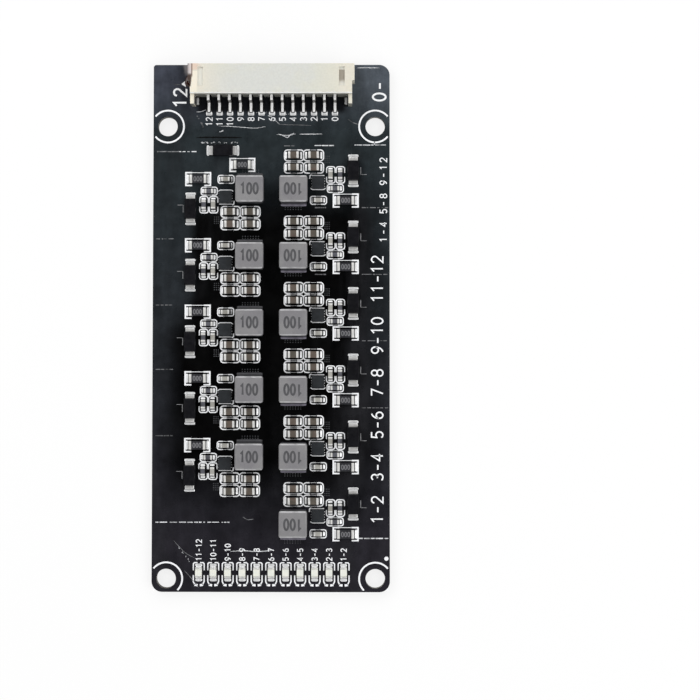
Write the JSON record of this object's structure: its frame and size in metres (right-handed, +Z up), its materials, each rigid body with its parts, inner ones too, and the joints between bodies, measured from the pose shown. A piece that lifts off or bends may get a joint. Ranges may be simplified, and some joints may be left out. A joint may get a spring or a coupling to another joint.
{
  "type": "battery balancing board",
  "caption": "Long narrow circuit board with two columns of balancing channels, a row of indicator LEDs at one end, a side-entry header at the other and four corner mounting holes.",
  "frame": {"origin": "middle of the board's underside", "axes": "+X across the board, +Y along it towards the header's mouth, +Z up through the parts"},
  "size_m": [0.045, 0.1, 0.0065],
  "materials": {
    "board_mask": "black solder mask under a clear coat, over glass-fibre laminate",
    "solder": "bright tin solder, softly uneven",
    "tinned_metal": "matt tin plate",
    "header_nylon": "ivory moulded nylon, fine satin grain",
    "inductor_moulding": "pressed iron-powder moulding, light grey, fine speckle",
    "chip_epoxy": "black moulding compound",
    "diode_epoxy": "black moulding compound, smooth",
    "capacitor_ceramic": "brown fired ceramic",
    "small_capacitor_ceramic": "light tan fired ceramic",
    "resistor_film": "black glazed film over white ceramic",
    "led_lens": "ivory-white clear-cast resin"
  },
  "bodies": {
    "root": {"circuit_board": "board_mask", "solder_pads": "solder", "header_housing": "header_nylon", "header_contacts": "tinned_metal", "header_solder_tabs": "tinned_metal", "inductor_1": "inductor_moulding", "inductor_2": "inductor_moulding", "inductor_3": "inductor_moulding", "inductor_4": "inductor_moulding", "inductor_5": "inductor_moulding", "inductor_6": "inductor_moulding", "inductor_7": "inductor_moulding", "inductor_8": "inductor_moulding", "inductor_9": "inductor_moulding", "inductor_10": "inductor_moulding", "inductor_11": "inductor_moulding", "balancer_chip_1": "chip_epoxy", "balancer_chip_2": "chip_epoxy", "balancer_chip_3": "chip_epoxy", "balancer_chip_4": "chip_epoxy", "balancer_chip_5": "chip_epoxy", "balancer_chip_6": "chip_epoxy", "balancer_chip_7": "chip_epoxy", "balancer_chip_8": "chip_epoxy", "balancer_chip_9": "chip_epoxy", "balancer_chip_10": "chip_epoxy", "balancer_chip_11": "chip_epoxy", "protection_diode_1": "diode_epoxy", "protection_diode_2": "diode_epoxy", "protection_diode_3": "diode_epoxy", "protection_diode_4": "diode_epoxy", "protection_diode_5": "diode_epoxy", "protection_diode_6": "diode_epoxy", "protection_diode_7": "diode_epoxy", "protection_diode_8": "diode_epoxy", "protection_diode_9": "diode_epoxy", "protection_diode_10": "diode_epoxy", "protection_diode_11": "diode_epoxy", "supply_diode": "diode_epoxy", "inductor_terminals": "tinned_metal", "chip_leads": "tinned_metal", "diode_leads": "tinned_metal", "bulk_capacitors": "capacitor_ceramic", "bulk_capacitor_ends": "tinned_metal", "small_capacitors": "small_capacitor_ceramic", "small_capacitor_ends": "tinned_metal", "small_resistors": "resistor_film", "small_resistor_ends": "tinned_metal", "link_resistors": "resistor_film", "link_resistor_ends": "tinned_metal", "indicator_leds": "led_lens", "led_terminals": "tinned_metal"}
  },
  "joints": []
}
